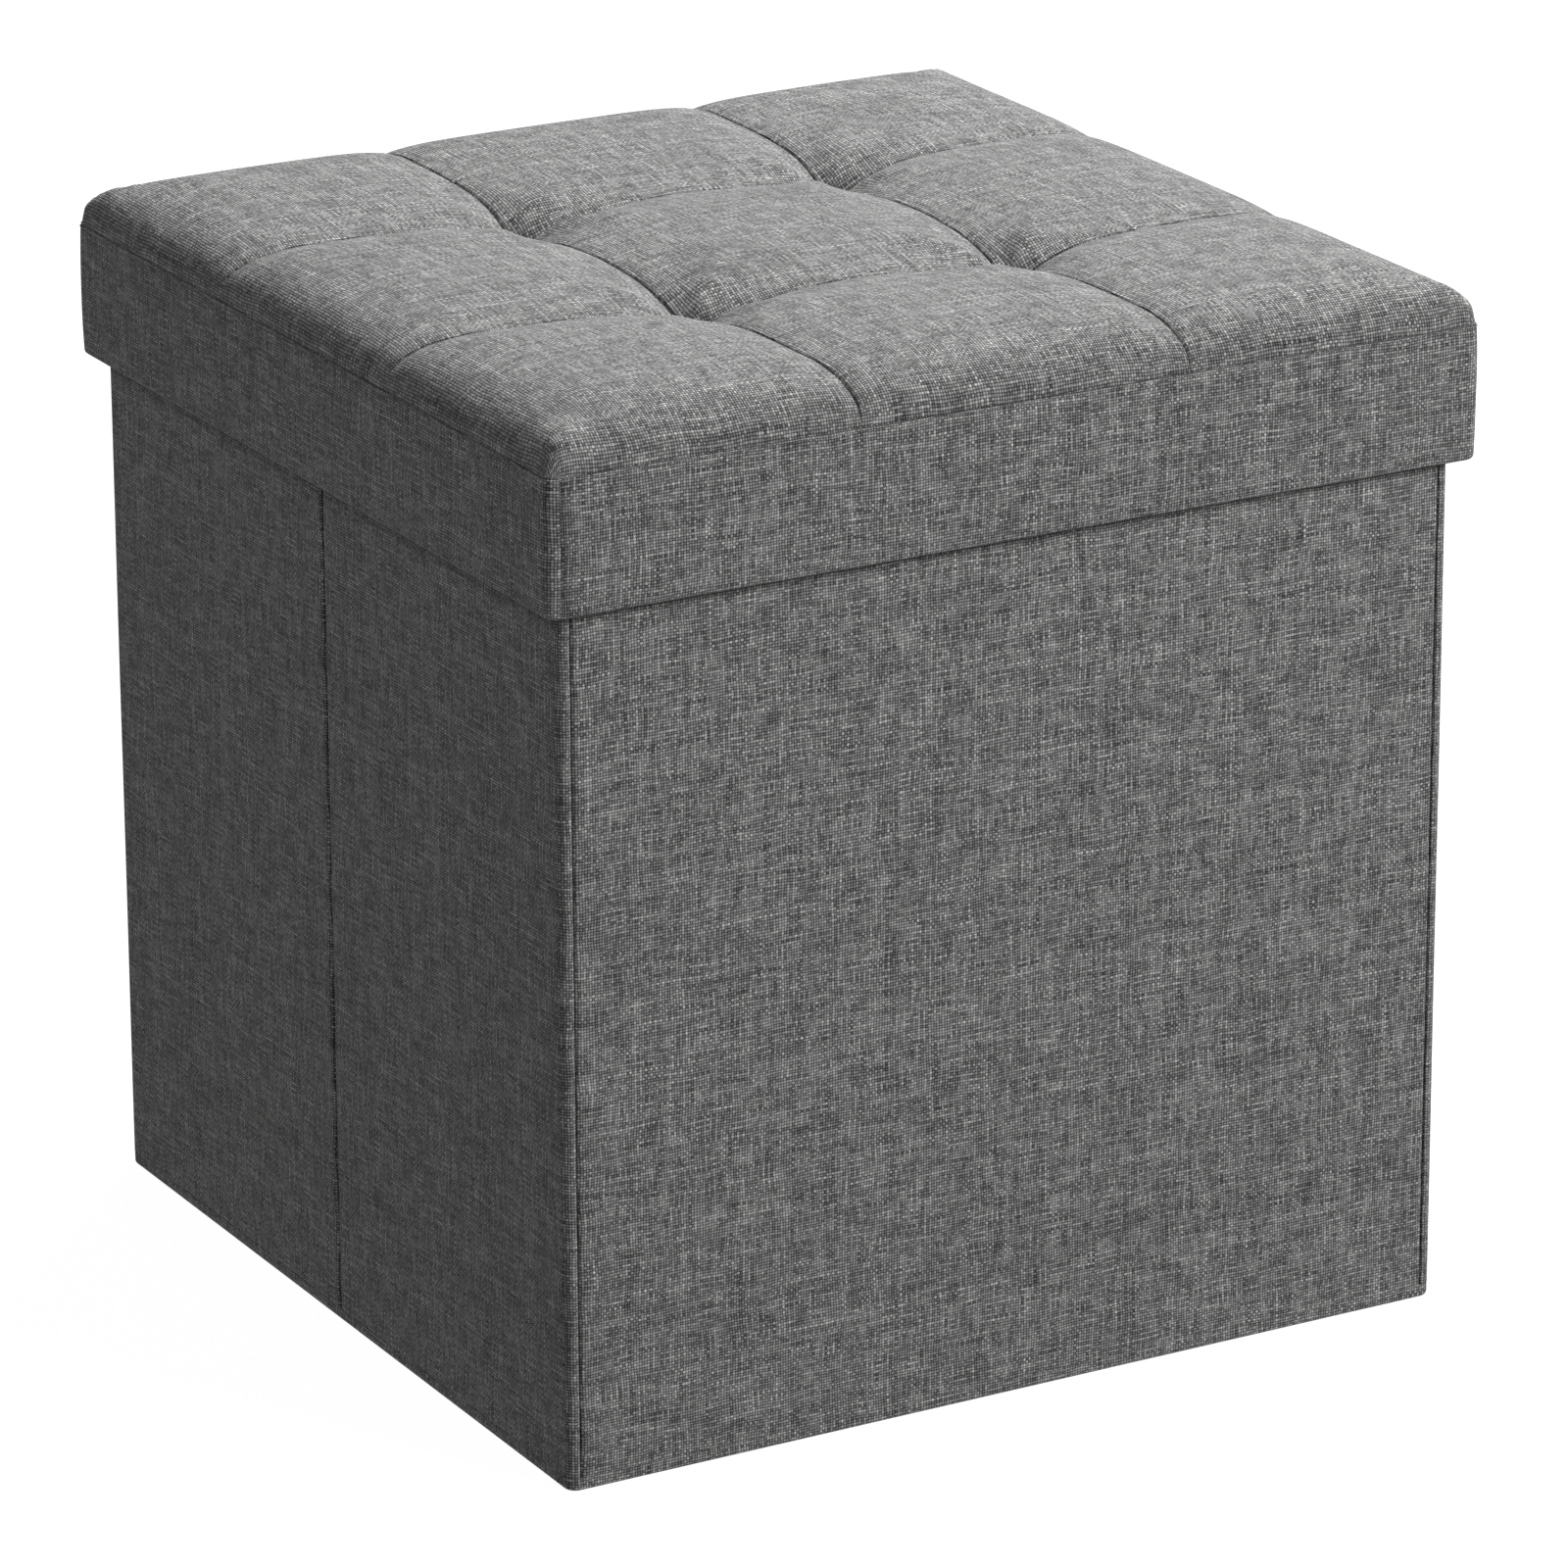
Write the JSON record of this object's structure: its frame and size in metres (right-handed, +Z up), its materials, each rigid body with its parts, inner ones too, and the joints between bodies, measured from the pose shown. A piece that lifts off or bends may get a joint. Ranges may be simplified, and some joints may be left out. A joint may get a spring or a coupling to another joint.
{
  "type": "folding storage ottoman",
  "caption": "Square fabric-covered storage ottoman: a hollow folding box with a loose base board and a padded, tufted lid that lifts off.",
  "frame": {"origin": "on the floor, under the centre of the box", "axes": "+Z up, front wall towards -Y, +X to the right as seen from the front"},
  "size_m": [0.38, 0.38, 0.3985],
  "materials": {
    "linen_cover": "matte linen-look plain weave, mid grey with lighter and darker slub threads",
    "black_lining": "matte spun-bonded non-woven cloth",
    "fibreboard": "raw medium-density fibreboard",
    "foam": "open-cell upholstery foam",
    "ribbon": "ribbed black ribbon",
    "thread": "twisted polyester thread",
    "staple_wire": "zinc-plated staple wire"
  },
  "bodies": {
    "rear_wall": {"rear_cover": "linen_cover", "rear_board": "fibreboard", "rear_liner": "black_lining", "rear_left_corner": "linen_cover", "rear_right_corner": "linen_cover", "rear_hem": "linen_cover", "left_hem": "linen_cover", "right_hem": "linen_cover", "front_hem": "linen_cover", "floor_cloth": "black_lining"},
    "left_rear_wall": {"left_rear_cover": "linen_cover", "left_rear_board": "fibreboard", "left_rear_liner": "black_lining", "left_crease": "linen_cover"},
    "left_front_wall": {"left_front_cover": "linen_cover", "left_front_board": "fibreboard", "left_front_liner": "black_lining"},
    "front_wall": {"front_cover": "linen_cover", "front_board": "fibreboard", "front_liner": "black_lining", "front_left_corner": "linen_cover", "front_right_corner": "linen_cover"},
    "right_rear_wall": {"right_rear_cover": "linen_cover", "right_rear_board": "fibreboard", "right_rear_liner": "black_lining", "right_crease": "linen_cover"},
    "right_front_wall": {"right_front_cover": "linen_cover", "right_front_board": "fibreboard", "right_front_liner": "black_lining"},
    "base": {"base_board": "fibreboard", "base_cloth_top": "black_lining", "base_cloth_bottom": "black_lining", "base_pull_tab": "ribbon"},
    "lid": {"lid_board": "fibreboard", "lid_staples": "staple_wire", "lid_lining": "black_lining", "foam_pad": "foam", "tuft_ties": "thread", "top_panel_front_left": "linen_cover", "top_panel_front_centre": "linen_cover", "top_panel_front_right": "linen_cover", "top_panel_middle_left": "linen_cover", "top_panel_middle_centre": "linen_cover", "top_panel_middle_right": "linen_cover", "top_panel_rear_left": "linen_cover", "top_panel_rear_centre": "linen_cover", "top_panel_rear_right": "linen_cover", "skirt_board_front": "fibreboard", "skirt_board_rear": "fibreboard", "skirt_board_left": "fibreboard", "skirt_board_right": "fibreboard", "lid_band_front": "linen_cover", "lid_band_rear": "linen_cover", "lid_band_left": "linen_cover", "lid_band_right": "linen_cover", "skirt_lining_front": "black_lining", "skirt_lining_rear": "black_lining", "skirt_lining_left": "black_lining", "skirt_lining_right": "black_lining"}
  },
  "joints": [
    {"name": "lid_lift", "type": "slide", "parent": "rear_wall", "child": "lid", "axis": [0, 0, 1], "range_m": [0, 0.45]},
    {"name": "base_lift", "type": "slide", "parent": "rear_wall", "child": "base", "axis": [0, 0, 1], "range_m": [0, 0.383]},
    {"name": "left_rear_fold", "type": "hinge", "parent": "rear_wall", "child": "left_rear_wall", "pos_m": [-0.17885, 0.17885, 0], "axis": [0, 0, 1], "range_deg": [0, 90], "deforming": ["left_hem", "right_hem", "front_hem", "floor_cloth", "rear_left_corner"]},
    {"name": "left_front_fold", "type": "hinge", "parent": "left_rear_wall", "child": "left_front_wall", "pos_m": [-0.18315, 0, 0], "axis": [0, 0, 1], "range_deg": [-180, 0], "deforming": ["left_crease"]},
    {"name": "front_fold", "type": "hinge", "parent": "left_front_wall", "child": "front_wall", "pos_m": [-0.17885, -0.17885, 0], "axis": [0, 0, 1], "range_deg": [0, 90], "deforming": ["front_left_corner", "front_right_corner"]},
    {"name": "right_rear_fold", "type": "hinge", "parent": "rear_wall", "child": "right_rear_wall", "pos_m": [0.17885, 0.17885, 0], "axis": [0, 0, 1], "range_deg": [-90, 0], "deforming": ["rear_right_corner"]},
    {"name": "right_front_fold", "type": "hinge", "parent": "right_rear_wall", "child": "right_front_wall", "pos_m": [0.18315, 0, 0], "axis": [0, 0, 1], "range_deg": [0, 180], "deforming": ["right_crease"]}
  ],
  "couplings": [
    {"joint": "base_lift", "follows": "lid_lift", "ratio": 0.85},
    {"joint": "left_front_fold", "follows": "left_rear_fold", "ratio": -2},
    {"joint": "front_fold", "follows": "left_rear_fold", "ratio": 1},
    {"joint": "right_rear_fold", "follows": "left_rear_fold", "ratio": -1},
    {"joint": "right_front_fold", "follows": "left_rear_fold", "ratio": 2}
  ]
}
